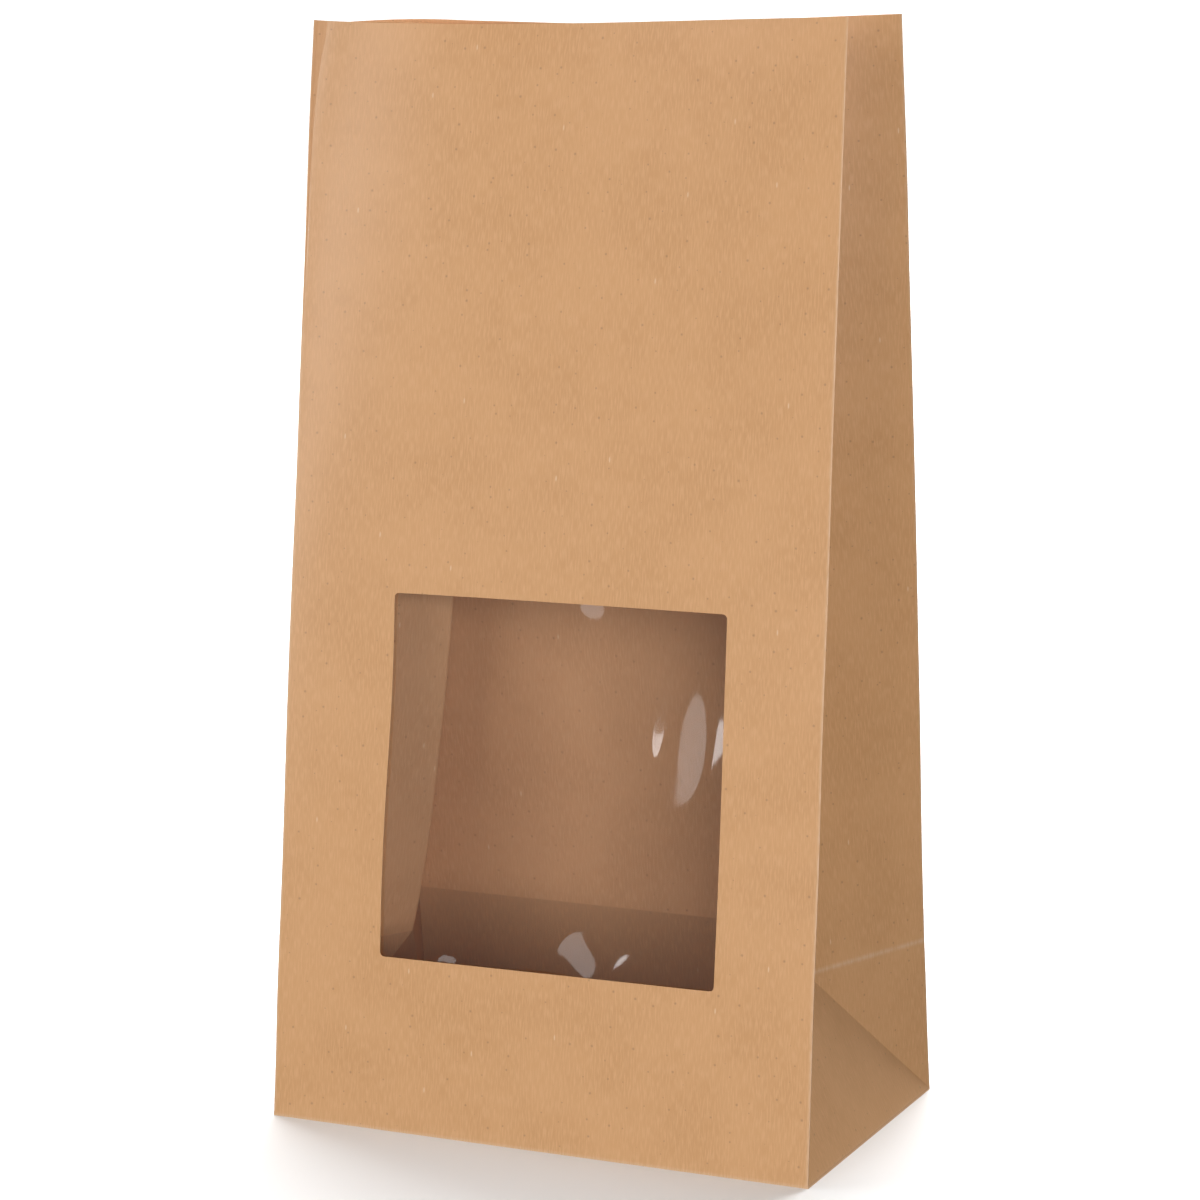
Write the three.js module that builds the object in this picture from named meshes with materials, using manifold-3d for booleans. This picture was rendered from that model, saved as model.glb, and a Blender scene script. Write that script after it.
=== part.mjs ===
// A block-bottom kraft paper bag with a film window, standing open and empty.
// Millimetres, +Z up. The origin is the middle of the base and the windowed front wall faces -Y.
// The bag is one folded sheet: a closed thin shell, open at the mouth. The film is a patch glued behind the
// front wall.
import * as THREE from "three";
import Module from "manifold-3d";

// The bag, as the maker lists it: width and depth of the base, and height along the paper from the base fold.
const bagWidth = 132;
const bagDepth = 78;
const bagHeight = 250;
const paperThickness = 0.2;
const baseThickness = 0.6; // the base is two to three layers of folded flaps

// Creases. The gussets fold inwards on a centre crease, which ends below at the tip of the base triangle.
const foldHeight = 37.3; // the level crease that lets the base fold flat against the back wall
const foldLean = 4.5; // how far the back wall has come in at that crease
const gussetSlack = 0.927; // the leaves bow, so the centre crease comes in less than a flat leaf would
const creaseDrop = 1; // the centre crease hangs below the level of the walls beside it

// The mouth: where the four top corners stand, front to back, and how the two walls between them curve.
const mouth = { frontLeft: -9.2, frontRight: -16.2, backLeft: -3.1, backRight: 16.5 };
const frontBow = 10.2; // the front wall is pushed in, most of all left of its middle
const backBow = 6.8; // the back wall swings out on the left and in on the right
const bowGrowth = 2.5; // the bows grow with this power of the height, from nothing at the base
const frontBowSkew = 0.69; // under 1, this draws the bow's waves to the left
const backBowSkew = 0.66;
const backBowEase = 10; // the higher, the sooner the back wall leaves the line of its left fold
const backLeftRise = 1; // the back wall's left top corner stands this much higher than its lean alone gives
const backRiseSpan = 0.25; // the share of the back wall's width in which that rise fades out

// Halfway up, the two walls bulge a little.
const frontBulge = 0.55;
const backBulge = 1.25;

// The window and its film patch.
const windowSize = 82.4;
const windowCorner = 1.2;
const windowFromBase = 40;
const windowOffCentre = 1.3;
const windowRise = 1; // the die cut sits slightly askew: its right side is this much higher than its left
const filmMargin = 10;
const filmGap = 0.3;
const filmThickness = 0.2;

// Grid: the paper's faces are split at every crease and follow the bows between them.
const wallColumns = 12;
const leafColumns = 4; // half a gusset, and the rows below the fold: cell diagonals lie on the creases
const upperRows = 12;
const filmCells = 12;
const cornerSteps = 4;

const { lerp } = THREE.MathUtils;
const halfWidth = bagWidth / 2;
const halfDepth = bagDepth / 2;

// A point of the front wall: across from 0 at its left fold to 1 at its right one, up along the paper in mm.
function frontWall(across, up) {
  const topY = lerp(mouth.frontLeft, mouth.frontRight, across);
  const bow = frontBow * Math.sin(Math.PI * across ** frontBowSkew) * (up / bagHeight) ** bowGrowth;
  const bulge = frontBulge * Math.sin((Math.PI * up) / bagHeight);
  const y = lerp(-halfDepth, topY, up / bagHeight) + bow - bulge;
  const z = Math.sqrt(up ** 2 - (y + halfDepth) ** 2);
  return new THREE.Vector3(lerp(-halfWidth, halfWidth, across), y, z);
}

// A point of the back wall, which hinges on the level crease. Across also runs from its left fold to its right.
function backWall(across, up) {
  const x = lerp(-halfWidth, halfWidth, across);
  const hingeY = halfDepth - foldLean;
  const hingeZ = Math.sqrt(foldHeight ** 2 - foldLean ** 2);
  if (up <= foldHeight) {
    const share = up / foldHeight;
    return new THREE.Vector3(x, lerp(halfDepth, hingeY, share), hingeZ * share);
  }
  const beyond = up - foldHeight;
  const share = beyond / (bagHeight - foldHeight);
  const topY = lerp(mouth.backLeft, mouth.backRight, across);
  const swing = Math.sin(2 * Math.PI * across ** backBowSkew) * (1 - (1 - across) ** backBowEase);
  const bow = backBow * swing * share ** bowGrowth;
  const bulge = backBulge * Math.sin(Math.PI * share);
  const y = lerp(hingeY, topY, share) + bow + bulge;
  const rise = backLeftRise * Math.max(0, 1 - across / backRiseSpan) * share;
  return new THREE.Vector3(x, y, hingeZ + Math.sqrt(beyond ** 2 - (y - hingeY) ** 2) + rise);
}

// A gusset's leaf above the crease: round runs from 0 at the front fold to 1 at the back fold, side is -1 or 1.
function gussetLeaf(side, round, up) {
  const edge = side < 0 ? 0 : 1;
  const opening = backWall(edge, up).y - frontWall(edge, up).y;
  const inset = gussetSlack * Math.sqrt(halfDepth ** 2 - (opening / 2) ** 2);
  const towardsCrease = 1 - Math.abs(2 * round - 1);
  const across = edge - (side * inset * towardsCrease) / bagWidth;
  const point = frontWall(across, up).lerp(backWall(across, up), round);
  point.z -= creaseDrop * towardsCrease;
  return point;
}

// A gusset below the crease is three flat facets that meet at the tip of the base triangle.
function gussetFoot(side, round, up) {
  const edge = side < 0 ? 0 : 1;
  const tip = gussetLeaf(side, 0.5, foldHeight);
  const share = up / foldHeight;
  const frontFold = frontWall(edge, up);
  const backFold = backWall(edge, up);
  if (2 * round <= share)
    return frontFold.add(tip.sub(frontWall(edge, foldHeight)).multiplyScalar(2 * round));
  if (2 * (1 - round) <= share)
    return backFold.add(tip.sub(backWall(edge, foldHeight)).multiplyScalar(2 * (1 - round)));
  const towardsBack = round - share / 2;
  return new THREE.Vector3(side * halfWidth, 0, 0)
    .multiplyScalar(1 - share)
    .addScaledVector(new THREE.Vector3(0, halfDepth, 0), 2 * towardsBack - (1 - share))
    .addScaledVector(tip, share);
}

function gusset(side, round, up) {
  return up < foldHeight ? gussetFoot(side, round, up) : gussetLeaf(side, round, up);
}

// Once round the bag, anticlockwise from above: each column is a function of the height along the paper.
const leafRounds = Array.from({ length: 2 * leafColumns }, (_, i) => i / (2 * leafColumns));
const wallSteps = Array.from({ length: wallColumns }, (_, i) => i / wallColumns);
const columns = [
  ...wallSteps.map((s) => (up) => frontWall(s, up)),
  ...leafRounds.map((s) => (up) => gusset(1, s, up)),
  ...wallSteps.map((s) => (up) => backWall(1 - s, up)),
  ...leafRounds.map((s) => (up) => gusset(-1, 1 - s, up)),
];
const cornerColumns = [0, wallColumns, wallColumns + 2 * leafColumns, 2 * wallColumns + 2 * leafColumns];
const heights = [
  ...Array.from({ length: leafColumns }, (_, i) => (foldHeight * i) / leafColumns),
  ...Array.from({ length: upperRows + 1 }, (_, i) => lerp(foldHeight, bagHeight, i / upperRows)),
];

// The loop one paper thickness inside a level loop, mitred at the folds. At a crease that points inwards the
// mitre is kept short.
function insideLoop(loop) {
  const longestAtCrease = 1.5 * paperThickness;
  const inwards = loop.map((p, i) => {
    const next = loop[(i + 1) % loop.length];
    return new THREE.Vector2(p.y - next.y, next.x - p.x).normalize();
  });
  return loop.map((p, i) => {
    const before = inwards[(i + loop.length - 1) % loop.length];
    const after = inwards[i];
    const mitre = before.clone().add(after).multiplyScalar(paperThickness / (1 + before.dot(after)));
    if (before.cross(after) < 0) mitre.clampLength(0, longestAtCrease);
    return new THREE.Vector3(p.x + mitre.x, p.y + mitre.y, p.z);
  });
}

// The loop inside the walls where they meet the top of the base. Its corners are taken on the diagonal
// creases, because the gussets' facets cut the corners off there.
function loopOnBase() {
  const share = baseThickness / foldHeight;
  const corners = [[-1, share / 2], [1, share / 2], [1, 1 - share / 2], [-1, 1 - share / 2]];
  const loop = columns.map((column) => column(baseThickness));
  cornerColumns.forEach((column, i) => (loop[column] = gussetFoot(...corners[i], baseThickness)));
  return insideLoop(loop).map((point) => point.setZ(baseThickness));
}

// The base's grid of points, bordered by the first loop of the walls.
function basePoint(loop, i, j) {
  const right = wallColumns;
  const back = 2 * leafColumns;
  if (j === 0) return loop[i];
  if (i === right) return loop[right + j];
  if (j === back) return loop[right + back + (right - i)];
  if (i === 0) return loop[(2 * right + back + (back - j)) % loop.length];
  return new THREE.Vector3(loop[i].x, loop[right + j].y, loop[i].z);
}

class Skin {
  points = [];

  triangle(...corners) {
    for (const c of corners) this.points.push(c.x, c.y, c.z);
  }

  // Corners a, b, c, d run anticlockwise seen from outside; the cell is split from a to c, or from b to d.
  cell(a, b, c, d, fromB = false) {
    if (fromB) {
      this.triangle(a, b, d);
      this.triangle(b, c, d);
    } else {
      this.triangle(a, b, c);
      this.triangle(a, c, d);
    }
  }

  geometry() {
    const made = new THREE.BufferGeometry();
    made.setAttribute("position", new THREE.Float32BufferAttribute(this.points, 3));
    made.computeVertexNormals();
    return made;
  }
}

// Whether a cell right of this column has its crease running down to the right.
function fallsToTheRight(column) {
  const beginsAt = (crease) => column >= crease && column < crease + leafColumns;
  return cornerColumns.some((corner, i) => i % 2 === 1 && beginsAt(corner + leafColumns));
}

function paperShell() {
  const skin = new Skin();
  const outside = heights.map((up) => columns.map((column) => column(up)));
  const inside = outside.map(insideLoop);
  inside[0] = loopOnBase();
  const lastRow = heights.length - 1;
  columns.forEach((_, i) => {
    const next = (i + 1) % columns.length;
    for (let row = 0; row < lastRow; row++) {
      const [low, high] = [outside[row], outside[row + 1]];
      const [innerLow, innerHigh] = [inside[row], inside[row + 1]];
      skin.cell(low[i], low[next], high[next], high[i], fallsToTheRight(i));
      skin.cell(innerLow[next], innerLow[i], innerHigh[i], innerHigh[next], !fallsToTheRight(i));
    }
    skin.cell(outside[lastRow][i], outside[lastRow][next], inside[lastRow][next], inside[lastRow][i]);
  });
  for (let i = 0; i < wallColumns; i++)
    for (let j = 0; j < 2 * leafColumns; j++) {
      const corners = [[i, j], [i + 1, j], [i + 1, j + 1], [i, j + 1]];
      const [a, b, c, d] = corners.map(([u, v]) => basePoint(inside[0], u, v));
      skin.cell(a, b, c, d);
      const [e, f, g, h] = corners.map(([u, v]) => basePoint(outside[0], u, v));
      skin.cell(h, g, f, e);
    }
  return skin.geometry();
}

// The window's outline pushed through the front wall, from in front of the bag to clear of the gussets.
function windowCutter() {
  const middle = (windowOffCentre + halfWidth) / bagWidth;
  const low = frontWall(middle, windowFromBase).z;
  const high = frontWall(middle, windowFromBase + windowSize).z;
  const left = windowOffCentre - windowSize / 2;
  const right = windowOffCentre + windowSize / 2;
  const outline = new THREE.Shape()
    .moveTo(left + windowCorner, low)
    .lineTo(right - windowCorner, low)
    .absarc(right - windowCorner, low + windowCorner, windowCorner, -Math.PI / 2, 0)
    .lineTo(right, high - windowCorner)
    .absarc(right - windowCorner, high - windowCorner, windowCorner, 0, Math.PI / 2)
    .lineTo(left + windowCorner, high)
    .absarc(left + windowCorner, high - windowCorner, windowCorner, Math.PI / 2, Math.PI)
    .lineTo(left, low + windowCorner)
    .absarc(left + windowCorner, low + windowCorner, windowCorner, Math.PI, 1.5 * Math.PI);
  const askew = new THREE.Matrix4().makeShear(0, windowRise / windowSize, 0, 0, 0, 0);
  const pushed = { depth: halfDepth, bevelEnabled: false, curveSegments: cornerSteps };
  return new THREE.ExtrudeGeometry(outline, pushed)
    .rotateX(Math.PI / 2)
    .translate(0, -halfDepth / 2, 0)
    .applyMatrix4(askew);
}

// The film: a thin sheet just behind the front wall that follows its bow and covers the window all round.
function filmSheet() {
  const skin = new Skin();
  const left = (windowOffCentre - windowSize / 2 - filmMargin + halfWidth) / bagWidth;
  const right = (windowOffCentre + windowSize / 2 + filmMargin + halfWidth) / bagWidth;
  const low = windowFromBase - filmMargin;
  const high = windowFromBase + windowSize + filmMargin;
  const face = (behind) => (i, j) => {
    const point = frontWall(lerp(left, right, i / filmCells), lerp(low, high, j / filmCells));
    return point.setY(point.y + behind);
  };
  const front = face(paperThickness + filmGap);
  const back = face(paperThickness + filmGap + filmThickness);
  for (let i = 0; i < filmCells; i++) {
    for (let j = 0; j < filmCells; j++) {
      skin.cell(front(i, j), front(i + 1, j), front(i + 1, j + 1), front(i, j + 1));
      skin.cell(back(i + 1, j), back(i, j), back(i, j + 1), back(i + 1, j + 1), true);
    }
    const far = filmCells;
    skin.cell(back(i, 0), back(i + 1, 0), front(i + 1, 0), front(i, 0));
    skin.cell(front(i, far), front(i + 1, far), back(i + 1, far), back(i, far));
    skin.cell(back(0, i + 1), back(0, i), front(0, i), front(0, i + 1));
    skin.cell(front(far, i + 1), front(far, i), back(far, i), back(far, i + 1));
  }
  return skin.geometry();
}

const wasm = await Module();
wasm.setup();

// A closed geometry as a solid: vertices at one place become one vertex.
function solidOf(geometry) {
  const flat = geometry.index ? geometry.toNonIndexed() : geometry;
  const places = flat.getAttribute("position");
  const known = new Map();
  const vertices = [];
  const triVerts = new Uint32Array(places.count);
  for (let i = 0; i < places.count; i++) {
    const place = [places.getX(i), places.getY(i), places.getZ(i)];
    const key = place.map((v) => v.toFixed(4)).join(" ");
    if (!known.has(key)) {
      known.set(key, vertices.length / 3);
      vertices.push(...place);
    }
    triVerts[i] = known.get(key);
  }
  const vertProperties = new Float32Array(vertices);
  return new wasm.Manifold(new wasm.Mesh({ numProp: 3, vertProperties, triVerts }));
}

function geometryOf(solid) {
  const { vertProperties, triVerts } = solid.getMesh();
  const made = new THREE.BufferGeometry();
  made.setAttribute("position", new THREE.BufferAttribute(vertProperties, 3));
  made.setIndex(new THREE.BufferAttribute(triVerts, 1));
  return made.toNonIndexed();
}

function named(name, geometry, material) {
  geometry.computeVertexNormals();
  const mesh = new THREE.Mesh(geometry, material);
  mesh.name = name;
  return mesh;
}

const kraftPaper = new THREE.MeshStandardMaterial({ color: 0xc79a72, roughness: 0.62, metalness: 0 });
const clearFilm = new THREE.MeshStandardMaterial({ color: 0xe6e2dc, roughness: 0.08, metalness: 0 });
clearFilm.transparent = true;
clearFilm.opacity = 0.25;

const paper = solidOf(paperShell()).subtract(solidOf(windowCutter()));
const group = new THREE.Group();
group.add(named("paper_bag", geometryOf(paper), kraftPaper));
group.add(named("window_film", filmSheet(), clearFilm));

export default group;
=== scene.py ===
# Block-bottom kraft paper bag with a square film window, standing open and empty under soft studio light.
import math
import bpy
import numpy as np
from mathutils import Matrix, Vector


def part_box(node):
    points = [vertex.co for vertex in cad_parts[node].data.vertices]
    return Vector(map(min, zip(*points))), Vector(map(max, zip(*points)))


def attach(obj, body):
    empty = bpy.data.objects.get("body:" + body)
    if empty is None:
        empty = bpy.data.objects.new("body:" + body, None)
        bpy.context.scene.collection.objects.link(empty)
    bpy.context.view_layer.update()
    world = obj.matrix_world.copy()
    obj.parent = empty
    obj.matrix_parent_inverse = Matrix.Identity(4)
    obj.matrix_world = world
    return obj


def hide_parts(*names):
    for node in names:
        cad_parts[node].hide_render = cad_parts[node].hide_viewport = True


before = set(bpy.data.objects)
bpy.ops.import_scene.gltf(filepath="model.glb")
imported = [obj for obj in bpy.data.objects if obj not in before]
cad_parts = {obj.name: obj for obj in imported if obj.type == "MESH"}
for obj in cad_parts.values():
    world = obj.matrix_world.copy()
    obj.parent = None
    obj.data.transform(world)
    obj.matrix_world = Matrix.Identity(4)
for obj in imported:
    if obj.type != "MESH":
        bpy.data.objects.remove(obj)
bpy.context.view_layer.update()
metre = 0.001  # everything below is worked out in millimetres and written out in metres
bagLow, bagHigh = (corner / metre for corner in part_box("paper_bag"))
bagWidth = bagHigh.x - bagLow.x
bagDepth = bagHigh.y - bagLow.y

# The bag's folds and the way its mouth stands open, as its solid has them (mm).
bag = {
    "height": 250,  # along the paper
    "foldHeight": 37.3,  # level crease that lets the base fold flat against the back wall
    "foldLean": 4.5,
    "gussetSlack": 0.927,
    "creaseDrop": 1,
    "mouthFront": (-9.2, -16.2),  # y at the left and right fold
    "mouthBack": (-3.1, 16.5),
    "frontBow": 10.2,
    "backBow": 6.8,
    "bowGrowth": 2.5,
    "frontBowSkew": 0.69,
    "backBowSkew": 0.66,
    "backBowEase": 10,
    "backLeftRise": 1,
    "backRiseSpan": 0.25,
    "frontBulge": 0.55,
    "backBulge": 1.25,
    "foldSpring": 0.5,  # the left fold's spring: the front wall dips this much beside it
    "springReach": 20,
}

# The sheet itself and how finely it is meshed (mm).
paper = {
    "thickness": 0.15,
    "foldRadius": (0.3, 0.9),  # extra columns beside each fold, which round it
    "foldEase": 0.4,  # how far each of them moves towards its neighbours
    "columnWidth": 2.5,
    "leafColumns": 12,
    "rowHeight": 3,
    "baseLift": 0.3,  # the two base flaps lie under the sheet
    "seamWidth": 15,  # glued lap seam on the back wall
    "seamFromFold": 12,
    "waveHeight": 0.16,  # gentle unevenness of a handled bag
    "waveLengths": (34, 90),
    "waveCount": 14,
    "waveHeading": (1, 1, 0.55),  # longer up the bag than across it
    "wavePush": (0.5, 1, 0.1),
    "settleHeight": 25,  # fading to none where the bag stands
    "seed": 7,
}

window = {
    "size": 82.4,
    "corner": 1.1,
    "cornerArc": (0.3, 1.27),  # radians round each corner, just short of the sides
    "fromBase": 40,
    "offCentre": 1.3,
    "rise": 1,  # the cut sits askew: its right side is this much higher
    "leftWave": 0.35,  # the die's left edge has pulled into a slight S
    "rightWave": 0.2,
}

film = {"margin": 9, "gap": 0.06, "thickness": 0.03, "cells": 150, "sag": 0.6}

halfWidth = bagWidth / 2
halfDepth = bagDepth / 2


def lerp(a, b, share):
    return a + (b - a) * share


# A point of the front wall: across from 0 at its left fold to 1 at its right one, up along the paper.
def frontWall(across, up):
    across, up = np.broadcast_arrays(np.asarray(across, float), np.asarray(up, float))
    rise = up / bag["height"]
    topY = lerp(*bag["mouthFront"], across)
    bow = bag["frontBow"] * np.sin(math.pi * across ** bag["frontBowSkew"]) * rise ** bag["bowGrowth"]
    bulge = bag["frontBulge"] * np.sin(math.pi * rise)
    fromFold = np.clip(across, 0, 1) * bagWidth / bag["springReach"]
    dip = bag["foldSpring"] * fromFold * np.exp(1 - fromFold) * np.minimum(1, 4 * rise)
    y = lerp(-halfDepth, topY, rise) + bow - bulge + dip
    z = np.sqrt(up**2 - (y + halfDepth) ** 2)
    return np.stack([lerp(-halfWidth, halfWidth, across), y, z], axis=-1)


# A point of the back wall, which hinges on the level crease.
def backWall(across, up):
    across, up = np.broadcast_arrays(np.asarray(across, float), np.asarray(up, float))
    hingeY = halfDepth - bag["foldLean"]
    hingeZ = math.sqrt(bag["foldHeight"] ** 2 - bag["foldLean"] ** 2)
    footShare = np.minimum(up / bag["foldHeight"], 1)
    beyond = np.maximum(up - bag["foldHeight"], 0)
    share = beyond / (bag["height"] - bag["foldHeight"])
    topY = lerp(*bag["mouthBack"], across)
    swing = np.sin(2 * math.pi * across ** bag["backBowSkew"]) * (1 - (1 - across) ** bag["backBowEase"])
    bow = bag["backBow"] * swing * share ** bag["bowGrowth"] + bag["backBulge"] * np.sin(math.pi * share)
    y = lerp(hingeY, topY, share) + bow
    rise = bag["backLeftRise"] * np.maximum(0, 1 - across / bag["backRiseSpan"]) * share
    above = np.stack([across * 0, y, hingeZ + np.sqrt(beyond**2 - (y - hingeY) ** 2) + rise], axis=-1)
    below = np.stack([across * 0, lerp(halfDepth, hingeY, footShare), hingeZ * footShare], axis=-1)
    point = np.where((up < bag["foldHeight"])[..., None], below, above)
    point[..., 0] = lerp(-halfWidth, halfWidth, across)
    return point


# A gusset above the crease: roundBy from 0 at the front fold to 1 at the back fold, side -1 or 1.
def gussetLeaf(side, roundBy, up):
    roundBy, up = np.broadcast_arrays(np.asarray(roundBy, float), np.asarray(up, float))
    edge = 0 if side < 0 else 1
    opening = backWall(edge, up)[..., 1] - frontWall(edge, up)[..., 1]
    inset = bag["gussetSlack"] * np.sqrt(halfDepth**2 - (opening / 2) ** 2)
    towardsCrease = 1 - np.abs(2 * roundBy - 1)
    across = edge - side * inset * towardsCrease / bagWidth
    point = lerp(frontWall(across, up), backWall(across, up), roundBy[..., None])
    point[..., 2] -= bag["creaseDrop"] * towardsCrease
    return point


# Below the crease a gusset is three flat facets that meet at the tip of the base triangle.
def gussetFoot(side, roundBy, up):
    roundBy, up = np.broadcast_arrays(np.asarray(roundBy, float), np.asarray(up, float))
    edge = 0 if side < 0 else 1
    crease = bag["foldHeight"]
    tip = gussetLeaf(side, 0.5, crease)
    share = up / crease
    frontFacet = frontWall(edge, up) + (tip - frontWall(edge, crease)) * (2 * roundBy)[..., None]
    backFacet = backWall(edge, up) + (tip - backWall(edge, crease)) * (2 * (1 - roundBy))[..., None]
    towardsBack = 2 * roundBy - 1
    onBase = np.stack([side * halfWidth * (1 - share), halfDepth * towardsBack, share * 0], axis=-1)
    triangle = onBase + tip * share[..., None]
    isFront = (2 * roundBy <= share)[..., None]
    isBack = (2 * (1 - roundBy) <= share)[..., None]
    return np.where(isFront, frontFacet, np.where(isBack, backFacet, triangle))


def gusset(side, roundBy, up):
    foot = gussetFoot(side, roundBy, np.minimum(up, bag["foldHeight"]))
    leaf = gussetLeaf(side, roundBy, np.maximum(up, bag["foldHeight"]))
    return np.where((up < bag["foldHeight"])[..., None], foot, leaf)


# Places from 0 to 1 along a face this wide, closer together beside the folds at both ends.
def stepsBetweenFolds(width, count):
    beside = [offset / width for offset in paper["foldRadius"]]
    inner = np.linspace(0, 1, count + 1)[1:-1]
    return np.array([0, *beside, *inner, *(1 - b for b in reversed(beside)), 1])


def seamPlaces():
    right = 1 - paper["seamFromFold"] / bagWidth
    return right - paper["seamWidth"] / bagWidth, right


def gridSteps():
    wall = stepsBetweenFolds(bagWidth, round(bagWidth / paper["columnWidth"]))
    sliver = 0.1 / bagWidth  # a step needs two columns close together
    seam = [place + shift for place in seamPlaces() for shift in (-sliver, sliver)]
    wall = np.sort(np.concatenate([wall, seam]))
    half = stepsBetweenFolds(halfDepth, paper["leafColumns"])
    leaf = np.concatenate([half / 2, 1 - half[-2::-1] / 2])
    upper = stepsBetweenFolds(bag["height"] - bag["foldHeight"], round(bag["height"] / paper["rowHeight"]))
    heights = np.concatenate([half[:-1] * bag["foldHeight"], lerp(bag["foldHeight"], bag["height"], upper)])
    return wall, leaf, heights


# The whole bag as rows of points, anticlockwise from above, each with its place on the flat sheet.
def wallGrid(wall, leaf, heights):
    up = heights[:, None]
    faces = [
        frontWall(wall[None, :-1], up),
        gusset(1, leaf[None, :-1], up),
        backWall(wall[None, :0:-1], up),
        gusset(-1, leaf[None, :0:-1], up),
    ]
    along = [
        wall[:-1] * bagWidth,
        bagWidth + leaf[:-1] * bagDepth,
        bagWidth + bagDepth + (1 - wall[:0:-1]) * bagWidth,
        2 * bagWidth + bagDepth + (1 - leaf[:0:-1]) * bagDepth,
    ]
    return np.concatenate(faces, axis=1), np.concatenate(along)


def waves(points):
    draw = np.random.default_rng(paper["seed"])
    shift = np.zeros_like(points)
    for _ in range(paper["waveCount"]):
        length = draw.uniform(*paper["waveLengths"])
        heading = draw.normal(size=3) * paper["waveHeading"]
        heading /= np.linalg.norm(heading)
        push = draw.normal(size=3) * paper["wavePush"]
        phase = draw.uniform(0, 2 * math.pi)
        shift += np.sin(points @ heading * (2 * math.pi / length) + phase)[..., None] * push
    settled = np.clip(points[..., 2:] / paper["settleHeight"], 0, 1)
    return shift * settled * paper["waveHeight"] / math.sqrt(paper["waveCount"])


def roundFolds(grid, folds):
    for _ in range(2):
        near = (np.roll(grid, 1, axis=1) + np.roll(grid, -1, axis=1)) / 2
        for fold in folds:
            columns = np.arange(fold - 1, fold + 2) % grid.shape[1]
            grid[:, columns] = lerp(grid[:, columns], near[:, columns], paper["foldEase"])
    return grid


def gridNormals(grid):
    around = np.roll(grid, -1, axis=1) - np.roll(grid, 1, axis=1)
    upwards = np.gradient(grid, axis=0)
    normal = np.cross(around, upwards)
    return normal / np.linalg.norm(normal, axis=-1, keepdims=True)


def makeMesh(name, points, faces, materials, faceMaterial=None, places=None, paintedLightAndWear=None):
    mesh = bpy.data.meshes.new(name)
    mesh.from_pydata((np.asarray(points) * metre).tolist(), [], faces)
    for material in materials:
        mesh.materials.append(material)
    if faceMaterial is not None:
        mesh.polygons.foreach_set("material_index", faceMaterial)
    if places is not None:
        layer = mesh.uv_layers.new(name="sheet")
        corners = np.concatenate([np.asarray(face) for face in faces])
        layer.data.foreach_set("uv", (np.asarray(places)[corners] * metre).ravel())
    # The mask of wear and painted highlight at the outside's folds, and of painted shade over the inside's
    # foot.
    if paintedLightAndWear is not None:
        mesh.attributes.new("wearAndPaintedLight", "FLOAT", "POINT").data.foreach_set("value", paintedLightAndWear)
    mesh.polygons.foreach_set("use_smooth", [True] * len(mesh.polygons))
    mesh.validate()
    piece = bpy.data.objects.new(name, mesh)
    bpy.context.scene.collection.objects.link(piece)
    return piece


# One small function for every node: its kind, its settings, and its inputs as values or links.
def addNode(material, kind, settings=None, inputs=None):
    node = material.node_tree.nodes.new("ShaderNode" + kind)
    for name, value in (settings or {}).items():
        setattr(node, name, value)
    for key, value in (inputs or {}).items():
        if isinstance(value, bpy.types.NodeSocket):
            material.node_tree.links.new(value, node.inputs[key])
        else:
            node.inputs[key].default_value = value
    return node


def linearLevel(level):
    return level / 12.92 if level <= 0.04045 else ((level + 0.055) / 1.055) ** 2.4


def linear(hexColour):
    return (*(linearLevel(int(hexColour[i : i + 2], 16) / 255) for i in (1, 3, 5)), 1)


def newMaterial(name):
    material = bpy.data.materials.new(name)
    material.use_nodes = True
    material.node_tree.nodes.clear()
    return material


# A value taken from one range to another.
def spread(material, value, low, high, least=0, most=1):
    return addNode(
        material, "MapRange", {},
        {"Value": value, "From Min": low, "From Max": high, "To Min": least, "To Max": most},
    ).outputs["Result"]


def blend(material, share, first, second):
    return addNode(
        material, "Mix", {"data_type": "RGBA"}, {"Factor": share, 6: first, 7: second}
    ).outputs[2]


# Machine-glazed kraft paper: pulp dried against a hot polished cylinder on one side. The eye gets a warm
# brown sheet with soft clouds from uneven pulp, short fibres lying up the web, dark bark specks and a faint
# sheen.
glazedKraft = {
    "colour": "#d3a16f",
    "cloudColour": "#cd9b69",
    "fibreColour": "#dbaa7b",
    "speckColour": "#7c583c",
    "fleckColour": "#ecd2b0",  # shives: stray pale slivers of undercooked pulp
    "paintedLightAndWearColour": "#dcb894",  # where a fold has broken the glaze, and a painted highlight along the fold's edge
    "roughness": 0.38,
    "glaze": 0.55,  # specular level: the starch size makes it shinier than bare pulp
    "lightThrough": 0.13,  # the sheet is thin enough to glow a little when lit from the other side
    "cloudSize": 20,  # mm
    "fibreLength": 3,
    "fibreWidth": 0.35,  # real fibres are 0.03 mm wide: drawn coarser so that they show
    "speckSpacing": 5,
    "speckSize": 0.42,
    "fleckSpacing": 18,
    "fleckSize": (0.22, 0.8),
    "fleckTurn": 0.3,  # radians off the web
    "fibreRelief": 0.012,
}

# The felt side of the same sheet is duller, with a coarser tooth.
feltKraft = {
    **glazedKraft,
    "colour": "#d3a276",
    "cloudColour": "#cd9c70",
    "fibreColour": "#daab81",
    "paintedLightAndWearColour": "#b98d66",  # painted shade over the inside, below the level crease
    "roughness": 0.78,
    "glaze": 0.4,
    "fibreRelief": 0.02,
}


# Where a point lies on the flat sheet, in millimetres.
def sheetPlace(material):
    sheet = addNode(material, "UVMap", {"uv_map": "sheet"}).outputs["UV"]
    return addNode(
        material, "VectorMath", {"operation": "SCALE"}, {0: sheet, "Scale": 1 / metre}
    ).outputs["Vector"]


def pulpNoise(kraft, place, scale, detail):
    return addNode(
        kraft, "TexNoise", {"noise_dimensions": "2D"},
        {"Vector": place, "Scale": scale, "Detail": detail, "Roughness": 0.6},
    ).outputs["Fac"]


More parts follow.
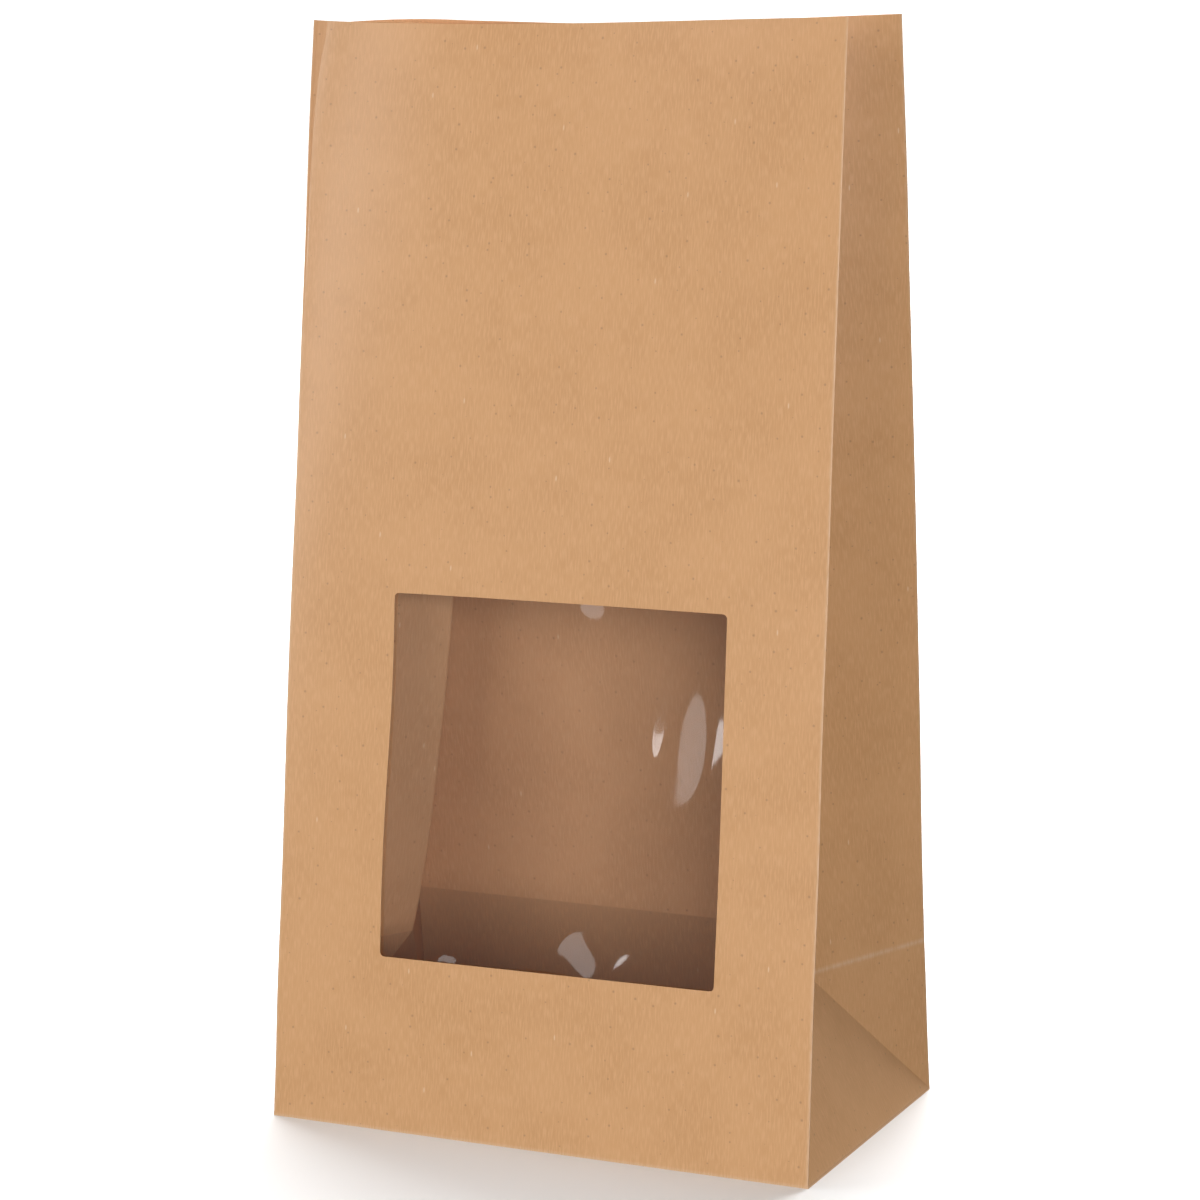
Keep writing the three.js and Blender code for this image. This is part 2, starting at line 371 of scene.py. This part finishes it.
def pulpFibres(kraft, place, finish):
    alongWeb = addNode(
        kraft, "Mapping", {},
        {"Vector": place, "Scale": (1 / finish["fibreWidth"], 1 / finish["fibreLength"], 1)},
    ).outputs["Vector"]
    return pulpNoise(kraft, alongWeb, 1, 1)


def barkSpecks(kraft, place, finish):
    spots = addNode(
        kraft, "TexVoronoi", {"voronoi_dimensions": "2D"},
        {"Vector": place, "Scale": 1 / finish["speckSpacing"], "Randomness": 1},
    ).outputs
    sizes = addNode(kraft, "SeparateColor", {}, {"Color": spots["Color"]}).outputs["Red"]
    largest = finish["speckSize"] / finish["speckSpacing"]
    reach = addNode(kraft, "Math", {"operation": "MULTIPLY"}, {0: sizes, 1: largest}).outputs["Value"]
    return spread(kraft, spots["Distance"], 0, reach, 0.6, 0)


def paleShives(kraft, place, finish):
    width, length = finish["fleckSize"]
    spacing = finish["fleckSpacing"]
    turned = addNode(
        kraft, "Mapping", {},
        {"Vector": place, "Rotation": (0, 0, finish["fleckTurn"]),
         "Scale": (1 / spacing, width / length / spacing, 1)},
    ).outputs["Vector"]
    distance = addNode(
        kraft, "TexVoronoi", {"voronoi_dimensions": "2D"}, {"Vector": turned, "Scale": 1, "Randomness": 1}
    ).outputs["Distance"]
    return spread(kraft, distance, 0.5 * width / spacing, width / spacing, 1, 0)


# The sheet's colour, layer over layer: how much of each there is, where it starts and is full, its colour,
# and the most that it covers.
def kraftColour(kraft, place, fibres, finish):
    clouds = pulpNoise(kraft, place, 1 / finish["cloudSize"], 2)
    specks = barkSpecks(kraft, place, finish)
    flecks = paleShives(kraft, place, finish)
    # This mask paints a highlight, with some wear, along the outside's folds, and paints shade over the
    # inside's foot.
    paintedLightAndWear = addNode(kraft, "Attribute", {"attribute_name": "wearAndPaintedLight"}).outputs["Fac"]
    fibredWearAndLight = addNode(kraft, "Math", {"operation": "MULTIPLY"}, {0: paintedLightAndWear, 1: fibres}).outputs["Value"]
    layers = (
        (clouds, 0.35, 0.65, "cloudColour", 0.9),
        (fibres, 0.42, 0.75, "fibreColour", 0.75),
        (specks, 0, 1, "speckColour", 0.8),
        (flecks, 0, 1, "fleckColour", 0.5),
        (fibredWearAndLight, 0, 0.6, "paintedLightAndWearColour", 0.8),
    )
    colour = linear(finish["colour"])
    for amount, low, high, layerColour, most in layers:
        share = spread(kraft, amount, low, high, 0, most)
        colour = blend(kraft, share, colour, linear(finish[layerColour]))
    return colour


def kraftMaterial(name, finish):
    kraft = newMaterial(name)
    place = sheetPlace(kraft)
    fibres = pulpFibres(kraft, place, finish)
    colour = kraftColour(kraft, place, fibres, finish)
    bump = addNode(
        kraft, "Bump", {}, {"Height": fibres, "Strength": 1, "Distance": finish["fibreRelief"] * metre}
    ).outputs["Normal"]
    smoothest, dullest = (finish["roughness"] + change for change in (-0.05, 0.05))
    roughness = spread(kraft, fibres, 0.3, 0.7, smoothest, dullest)
    face = addNode(
        kraft, "BsdfPrincipled", {},
        {"Base Color": colour, "Roughness": roughness, "IOR": 1.5, "Specular IOR Level": finish["glaze"],
         "Normal": bump},
    ).outputs["BSDF"]
    glow = addNode(kraft, "BsdfTranslucent", {}, {"Color": colour}).outputs["BSDF"]
    surface = addNode(
        kraft, "MixShader", {}, {0: finish["lightThrough"], 1: face, 2: glow}
    ).outputs["Shader"]
    addNode(kraft, "OutputMaterial", {}, {"Surface": surface})
    return kraft


# The cut edge of the sheet shows bare, torn pulp: paler, and quite dull.
cutEdge = {"colour": "#d9b793", "grain": 0.4}


def cutEdgeMaterial():
    pulp = newMaterial("die_cut_kraft_pulp")
    place = addNode(pulp, "TexCoord").outputs["Object"]
    grain = addNode(
        pulp, "TexNoise", {}, {"Vector": place, "Scale": 1 / (cutEdge["grain"] * metre), "Detail": 2}
    ).outputs["Fac"]
    colour = blend(pulp, grain, linear(cutEdge["colour"]), linear(glazedKraft["colour"]))
    surface = addNode(pulp, "BsdfPrincipled", {}, {"Base Color": colour, "Roughness": 0.9}).outputs["BSDF"]
    addNode(pulp, "OutputMaterial", {}, {"Surface": surface})
    return pulp


# Cast polypropylene film: clear and glass-smooth, so the eye sees the bag's inside through it with a thin
# veil of reflected light, and the lamp as crisp soft-edged shapes where the film undulates.
castFilm = {
    "tint": "#fbfbfb",
    "faceReflects": 0.041,  # share of light that each face mirrors when seen square on
    "roughness": 0.03,
    "streakSize": 14,
    "hazeRoughness": 0.09,
}


def filmMaterial():
    clear = newMaterial("cast_polypropylene_film")
    place = addNode(clear, "UVMap", {"uv_map": "sheet"}).outputs["UV"]
    streaks = addNode(
        clear, "TexNoise", {"noise_dimensions": "2D"},
        {"Vector": place, "Scale": 1 / (castFilm["streakSize"] * metre), "Detail": 2},
    ).outputs["Fac"]
    roughness = spread(clear, streaks, 0.3, 0.7, castFilm["roughness"], castFilm["hazeRoughness"])
    seeThrough = addNode(clear, "BsdfTransparent", {}, {"Color": linear(castFilm["tint"])}).outputs["BSDF"]
    mirror = addNode(clear, "BsdfGlossy", {}, {"Color": (1, 1, 1, 1), "Roughness": roughness}).outputs["BSDF"]
    glancing = addNode(clear, "LayerWeight", {}, {"Blend": 0.5}).outputs["Facing"]
    edgeOn = addNode(clear, "Math", {"operation": "POWER"}, {0: glancing, 1: 5}).outputs["Value"]
    share = spread(clear, edgeOn, 0, 1, castFilm["faceReflects"], 1)
    surface = addNode(clear, "MixShader", {}, {0: share, 1: seeThrough, 2: mirror}).outputs["Shader"]
    addNode(clear, "OutputMaterial", {}, {"Surface": surface})
    return clear


kraftOutside = kraftMaterial("machine_glazed_kraft_paper", glazedKraft)
kraftInside = kraftMaterial("kraft_paper_felt_side", feltKraft)
kraftEdge = cutEdgeMaterial()
clearFilm = filmMaterial()
print("materials made")


# How worn the outside is, with a painted highlight along the same lines: full at the folds, at the base's
# edge and, off the front, at the level crease.
def foldWearAndHighlight(along, heights):
    folds = np.array([0, bagWidth, bagWidth + bagDepth, 2 * bagWidth + bagDepth])
    total = 2 * (bagWidth + bagDepth)
    away = np.abs((along[:, None] - folds + total / 2) % total - total / 2).min(axis=1)
    reach = paper["foldRadius"][1]
    byFold = np.clip(1 - away / reach, 0, 1)[None, :]
    atBase = np.clip(1 - heights / reach, 0, 1)[:, None]
    atCrease = np.clip(1 - np.abs(heights - bag["foldHeight"]) / reach, 0, 1)[:, None]
    return np.maximum(np.maximum(byFold, atBase), atCrease * (along > bagWidth)[None, :])


# Painted shade on the inside, all over its foot, below the level crease of the back and of the gussets.
def paintedFootShade(along, heights):
    return ((heights[:, None] < bag["foldHeight"]) & (along[None, :] > bagWidth)).astype(float)


def foldColumns(wallCount, leafCount):
    corners = [0, wallCount, wallCount + leafCount, 2 * wallCount + leafCount]
    creases = [corner + leafCount // 2 for corner in corners[1::2]]
    return corners, creases


# The outside and inside skins of the walls, thicker outside along the glued seam.
def sheetSkins(wall, leaf, heights):
    outside, along = wallGrid(wall, leaf, heights)
    corners, creases = foldColumns(len(wall) - 1, len(leaf) - 1)
    outside = roundFolds(outside, corners + creases)
    outside += waves(outside)
    outside[0, :, 2] = 0
    normals = gridNormals(outside)
    inside = outside - normals * paper["thickness"]
    inside[0, :, 2] = paper["baseLift"] + paper["thickness"]
    seam = [bagWidth + bagDepth + (1 - place) * bagWidth for place in seamPlaces()]
    inSeam = (along > min(seam)) & (along < max(seam))
    outside = outside + normals * (paper["thickness"] * inSeam)[None, :, None]
    return outside, inside, along


def addCell(shell, corners, material, split=None):
    a, b, c, d = corners
    made = {"ac": [(a, b, c), (a, c, d)], "bd": [(a, b, d), (b, c, d)]}.get(split, [(a, b, c, d)])
    shell["faces"].extend(made)
    shell["faceMaterial"].extend([material] * len(made))


# The foot of each gusset is split into triangles along its slanting folds.
def addWalls(shell, rows, wallCount, leafCount):
    columns = 2 * (wallCount + leafCount)
    skin = rows * columns
    corners, creases = foldColumns(wallCount, leafCount)
    footRows = len(stepsBetweenFolds(halfDepth, paper["leafColumns"])) - 1
    for i in range(columns):
        after = (i + 1) % columns
        inGusset = any(corner <= i < corner + leafCount for corner in corners[1::2])
        falls = any(crease <= i < crease + leafCount // 2 for crease in creases)
        for row in range(rows - 1):
            low, high = row * columns, (row + 1) * columns
            split = ("bd" if falls else "ac") if inGusset and row < footRows else None
            back = {"ac": "bd", "bd": "ac"}.get(split)
            outer = (low + i, low + after, high + after, high + i)
            inner = (skin + low + after, skin + low + i, skin + high + i, skin + high + after)
            addCell(shell, outer, 0, split)
            addCell(shell, inner, 1, back)
        top = skin - columns
        addCell(shell, (top + i, top + after, skin + top + after, skin + top + i), 2)


# The column of the walls' lowest ring that a place on the base's grid falls on, if any.
def ringColumn(i, j, wallCount, leafCount):
    if j == 0:
        return i
    if i == wallCount:
        return wallCount + j
    if j == leafCount:
        return wallCount + leafCount + wallCount - i
    if i == 0:
        return 2 * (wallCount + leafCount) - j
    return None


# One face of the base, laid across the ring whose points start at first.
def addBase(shell, ring, first, lift, wallCount, leafCount, outwards):
    index = {}
    for i in range(wallCount + 1):
        for j in range(leafCount + 1):
            column = ringColumn(i, j, wallCount, leafCount)
            if column is None:
                index[i, j] = len(shell["points"])
                x, y = ring[i][0], ring[wallCount + j][1]
                shell["points"].append((x, y, lift))
                shell["places"].append((x, y))
                shell["paintedLightAndWear"].append(0)
            else:
                index[i, j] = first + column
    for i in range(wallCount):
        for j in range(leafCount):
            corners = (index[i, j], index[i + 1, j], index[i + 1, j + 1], index[i, j + 1])
            addCell(shell, corners[::-1] if outwards else corners, 0 if outwards else 1)


# The sheet as one closed shell: outside and inside skins, the base between them and the mouth's cut edge.
def makeShell():
    wall, leaf, heights = gridSteps()
    wallCount = len(wall) - 1
    leafCount = len(leaf) - 1
    outside, inside, along = sheetSkins(wall, leaf, heights)
    places = np.stack(np.broadcast_arrays(along[None, :], heights[:, None]), axis=-1).reshape(-1, 2)
    # Wear with a painted highlight at the outside's folds; painted shade over the inside's foot.
    paintedLightAndWear = [foldWearAndHighlight(along, heights).ravel(), paintedFootShade(along, heights).ravel()]
    shell = {
        "points": [*outside.reshape(-1, 3), *inside.reshape(-1, 3)],
        "places": [*places, *places],
        "paintedLightAndWear": [*paintedLightAndWear[0], *paintedLightAndWear[1]],
        "faces": [],
        "faceMaterial": [],
    }
    addWalls(shell, len(heights), wallCount, leafCount)
    innerLift = paper["baseLift"] + paper["thickness"]
    addBase(shell, outside[0], 0, paper["baseLift"], wallCount, leafCount, True)
    addBase(shell, inside[0], outside[..., 0].size, innerLift, wallCount, leafCount, False)
    return makeMesh(
        "kraft_sheet", shell["points"], shell["faces"], [kraftOutside, kraftInside, kraftEdge],
        shell["faceMaterial"], shell["places"], shell["paintedLightAndWear"],
    )


# The right side, the top, the left side and the bottom, each a quarter turn on and followed by its corner.
def windowOutline():
    half = window["size"] / 2
    radius = window["corner"]
    side = half - radius
    steps = np.linspace(0, 1, 60)
    few = steps[::8]
    rightPull = window["rightWave"] * np.sin(math.pi * steps)
    leftPull = -window["leftWave"] * np.sin(2 * math.pi * steps)
    arc = np.linspace(*window["cornerArc"], 5)
    corner = [(side + radius * math.cos(a), side + radius * math.sin(a)) for a in arc]
    outline = []
    runs = ((steps, rightPull), (few, 0 * few), (steps, leftPull), (few, 0 * few))
    for quarter, (shares, pulls) in enumerate(runs):
        edge = [(half + pull, lerp(-side, side, share)) for share, pull in zip(shares, pulls)] + corner
        for _ in range(quarter):
            edge = [(-z, x) for x, z in edge]
        outline += edge
    return placeOnWall(outline, half)


# The window's middle is put at its height on the leaning wall.
def placeOnWall(outline, half):
    across = (window["offCentre"] + halfWidth) / bagWidth
    centre = frontWall(across, window["fromBase"] + half)
    foot, head = (frontWall(0.5, window["fromBase"] + up) for up in (0, window["size"]))
    upright = (head - foot)[2] / window["size"]
    askew = window["rise"] / window["size"]
    return [(window["offCentre"] + x, centre[2] + (z + askew * x) * upright) for x, z in outline]


# The window is cut by its outline pushed through the front wall.
def cutWindow(sheet):
    outline = windowOutline()
    count = len(outline)
    points = [(x, y, z) for y in (-1.5 * halfDepth, -halfDepth / 2) for x, z in outline]
    faces = [tuple(range(count)), tuple(range(2 * count - 1, count - 1, -1))]
    for i in range(count):
        after = (i + 1) % count
        faces.append((after, i, count + i, count + after))
    cutter = makeMesh("cutter", points, faces, [kraftOutside, kraftInside, kraftEdge], [2] * len(faces))
    cut = sheet.modifiers.new("window", "BOOLEAN")
    cut.operation = "DIFFERENCE"
    cut.solver = "MANIFOLD"
    cut.object = cutter
    bpy.context.view_layer.objects.active = sheet
    bpy.ops.object.modifier_apply(modifier=cut.name)
    bpy.data.objects.remove(cutter)


sheet = makeShell()
cutWindow(sheet)
sheet.data.set_sharp_from_angle(angle=math.radians(9))
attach(sheet, "root")
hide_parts("paper_bag")
print("sheet folded:", len(sheet.data.polygons), "faces")


# The base is closed by two glued flaps with ends cut at 45 degrees, the outer one over the inner one.
baseFlap = {"pastMiddle": 7, "inFromFold": 0.5, "thickness": 0.13, "innerLift": 0.15}


def makeFlap(name, towards, low):
    reach = halfDepth + baseFlap["pastMiddle"]
    inset = baseFlap["inFromFold"]
    high = low + baseFlap["thickness"]
    near = halfDepth - inset
    outline = [(-halfWidth + inset, -near), (halfWidth - inset, -near)]
    outline += [(halfWidth - reach, reach - halfDepth), (-halfWidth + reach, reach - halfDepth)]
    outline = [(x, y * towards) for x, y in outline][::towards]
    points = [(x, y, z) for z in (low, high) for x, y in outline]
    faces = [(3, 2, 1, 0), (4, 5, 6, 7)]
    faces += [(i, (i + 1) % 4, 4 + (i + 1) % 4, 4 + i) for i in range(4)]
    piece = makeMesh(name, points, faces, [kraftOutside, kraftInside, kraftEdge], [0, 1, 2, 2, 2, 2],
                     [(x, y) for x, y, _ in points])
    piece.data.set_sharp_from_angle(angle=math.radians(30))
    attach(piece, "root")
    return piece


makeFlap("outer_base_flap", 1, 0)
makeFlap("inner_base_flap", -1, baseFlap["innerLift"])
print("base flaps glued")

# Undulations of the film (mm), where the glue has pulled it tight: the place across and up the sheet, how far
# it reaches both ways, how its axes are turned, and its tilt and bend there. Each one mirrors a lamp.
filmSwells = [
    {"at": (33.7, 90.2), "reach": (7.6, 16.4), "turn": -0.04,
     "tilt": (-0.0825, 0.037), "bend": (-0.0101, -0.0024)},
    {"at": (9.7, 122), "reach": (5.3, 5.8), "turn": -0.07,
     "tilt": (-0.0465, -0.0305), "bend": (0.006, -0.0167)},
    {"at": (9.1, 42.7), "reach": (14, 10.6), "turn": 0.89,
     "tilt": (-0.113, 0.057), "bend": (0.0123, 0.0034)},
    {"at": (-24.1, 37.5), "reach": (4.2, 5.3), "turn": 0.04,
     "tilt": (-0.075, 0.075), "bend": (0.009, 0.0188)},
]


def filmRelief(x, up, half):
    relief = x * 0
    for swell in filmSwells:
        dx, dz = x - swell["at"][0], up - swell["at"][1]
        across = dx * math.cos(swell["turn"]) + dz * math.sin(swell["turn"])
        along = dz * math.cos(swell["turn"]) - dx * math.sin(swell["turn"])
        fade = np.exp(-(((across / swell["reach"][0]) ** 2 + (along / swell["reach"][1]) ** 2) ** 2))
        bend = (swell["bend"][0] * across**2 + swell["bend"][1] * along**2) / 2
        relief = relief + fade * (swell["tilt"][0] * dx + swell["tilt"][1] * dz + bend)
    middle = window["fromBase"] + window["size"] / 2
    fromEdge = half - np.maximum(np.abs(x - window["offCentre"]), np.abs(up - middle))
    share = np.clip(fromEdge / film["margin"], 0, 1)
    return (relief + film["sag"]) * share**2 * (3 - 2 * share)


def makeFilm():
    half = window["size"] / 2 + film["margin"]
    steps = np.linspace(-half, half, film["cells"] + 1)
    x = window["offCentre"] + steps[None, :] + 0 * steps[:, None]
    up = window["fromBase"] + window["size"] / 2 + steps[:, None] + 0 * steps[None, :]
    middle = frontWall((x + halfWidth) / bagWidth, up)
    middle += waves(middle)
    faces = []
    layers = []
    side = film["cells"] + 1
    for behind in (0, film["thickness"]):
        layer = middle.copy()
        layer[..., 1] += paper["thickness"] + film["gap"] + behind + filmRelief(x, up, half)
        layers.append(layer.reshape(-1, 3))
    skin = side * side
    for j in range(film["cells"]):
        for i in range(film["cells"]):
            a, b, c, d = j * side + i, j * side + i + 1, (j + 1) * side + i + 1, (j + 1) * side + i
            faces.append((a, b, c, d))
            faces.append((skin + d, skin + c, skin + b, skin + a))
    last = film["cells"] * side
    for i in range(film["cells"]):
        faces.append((skin + i, skin + i + 1, i + 1, i))
        faces.append((last + i, last + i + 1, skin + last + i + 1, skin + last + i))
        left, right = i * side, i * side + film["cells"]
        faces.append((skin + left + side, skin + left, left, left + side))
        faces.append((right, skin + right, skin + right + side, right + side))
    places = np.tile(np.stack([x, up], axis=-1).reshape(-1, 2), (2, 1))
    return makeMesh("window_pane", np.concatenate(layers), faces, [clearFilm], None, places)


pane = makeFilm()
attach(pane, "root")
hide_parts("window_film")
print("film glued in")

# Studio: a white floor that curves up into a low round sweep. A large soft lamp stands high at the left,
# another faces the front wall, a third, low at the right, lights the gusset, and a weak one stands behind.
# A small round lamp is there for the film to mirror, and a broad one overhead whitens the floor behind.
studio = {
    "floorRadius": 3.2,  # m
    "sweepRadius": 1.2,
    "sweepHeight": 1.6,
    "floorTurns": 96,
    "floorRings": (0.4, 1.2),
    "floorColour": "#f4f4f3",
    "floorPale": "#f8f8f8",
    "worldStrength": 0.21,
    "key": {"at": (-2.11, -0.85, 1.02), "aim": (0, 0, 0.12), "size": 1.4, "power": 17.5},
    "front": {"at": (-0.25, -2.42, 0.66), "aim": (0, 0, 0.12), "size": 1.2, "power": 20},
    "ring": {"at": (-1.47, -2.02, 0.144), "aim": (0, 0, 0.1), "size": 0.35, "power": 0.44},
    "low": {"at": (1.43, -2.04, 0.32), "aim": (0, 0, 0.12), "size": 1.0, "power": 42},
    "rear": {"at": (0.0, 2.32, 1.04), "aim": (0, 0, 0.12), "size": 1.8, "power": 8},
    "top": {"at": (-0.4, 1.5, 2.4), "aim": (-0.6, 1.6, 0), "size": 2.2, "power": 165},
}


def addLamp(name, shape):
    lamp = bpy.data.lights.new(name, "AREA")
    lamp.shape = shape
    lamp.size = studio[name]["size"]
    lamp.energy = studio[name]["power"]
    holder = bpy.data.objects.new(name, lamp)
    holder.location = studio[name]["at"]
    aim = Vector(studio[name]["aim"]) - holder.location
    holder.rotation_euler = aim.to_track_quat("-Z", "Y").to_euler()
    bpy.context.scene.collection.objects.link(holder)


# The floor's outline from its middle outwards, spun round the bag.
def makeSweep():
    flat, curve = studio["floorRadius"], studio["sweepRadius"]
    angles = np.linspace(0, math.pi / 2, 17)
    bend = [(flat + curve * math.sin(a), curve - curve * math.cos(a)) for a in angles]
    rings = [(radius, 0) for radius in studio["floorRings"]]
    outline = [*rings, *bend, (flat + curve, curve + studio["sweepHeight"])]
    turns = studio["floorTurns"]
    points = [(0, 0, 0)]
    for i in range(turns):
        x, y = math.cos(2 * math.pi * i / turns), math.sin(2 * math.pi * i / turns)
        points += [(r * x / metre, r * y / metre, z / metre) for r, z in outline]
    count = len(outline)
    faces = []
    for i in range(turns):
        here, after = 1 + i * count, 1 + (i + 1) % turns * count
        faces.append((0, here, after))
        faces += [(here + k, here + k + 1, after + k + 1, after + k) for k in range(count - 1)]
    return makeMesh("floor", points, faces, [])


def addStudio():
    floor = makeSweep()
    matte = newMaterial("matt_white_lacquered_board")
    place = addNode(matte, "TexCoord").outputs["Object"]
    mottle = addNode(matte, "TexNoise", {}, {"Vector": place, "Scale": 3}).outputs["Fac"]
    colour = blend(matte, mottle, linear(studio["floorColour"]), linear(studio["floorPale"]))
    surface = addNode(matte, "BsdfPrincipled", {}, {"Base Color": colour, "Roughness": 0.9}).outputs["BSDF"]
    addNode(matte, "OutputMaterial", {}, {"Surface": surface})
    floor.data.materials.append(matte)
    floor.visible_diffuse = False  # its bounce would wash out the shading of the gussets
    floor.visible_glossy = False
    for name in ("key", "front", "ring", "low", "rear", "top"):
        addLamp(name, "DISK" if name == "ring" else "SQUARE")
    world = bpy.data.worlds.new("studio")
    bpy.context.scene.world = world
    world.use_nodes = True
    world.node_tree.nodes["Background"].inputs["Color"].default_value = (1, 1, 1, 1)
    world.node_tree.nodes["Background"].inputs["Strength"].default_value = studio["worldStrength"]
    bpy.context.scene.view_settings.view_transform = "Standard"


addStudio()

# The camera, level to the mouth and a little to the right of the window.
view = {"lens": 111.6, "at": (346.84, -753.87, 263.71), "yaw": 24.71, "pitch": 9.95, "roll": -0.51}


def addCamera():
    yaw, pitch, roll = (math.radians(view[key]) for key in ("yaw", "pitch", "roll"))
    forward = Vector((-math.sin(yaw) * math.cos(pitch), math.cos(yaw) * math.cos(pitch), -math.sin(pitch)))
    level = Vector((math.cos(yaw), math.sin(yaw), 0))
    upright = level.cross(forward)
    right = math.cos(roll) * level + math.sin(roll) * upright
    top = math.cos(roll) * upright - math.sin(roll) * level
    lens = bpy.data.cameras.new("camera")
    lens.lens = view["lens"]
    lens.sensor_width = 36
    camera = bpy.data.objects.new("camera", lens)
    turn = Matrix((right, top, -forward)).transposed().to_4x4()
    camera.matrix_world = Matrix.Translation(Vector(view["at"]) * metre) @ turn
    bpy.context.scene.collection.objects.link(camera)
    bpy.context.scene.camera = camera


addCamera()
print("studio and camera set")
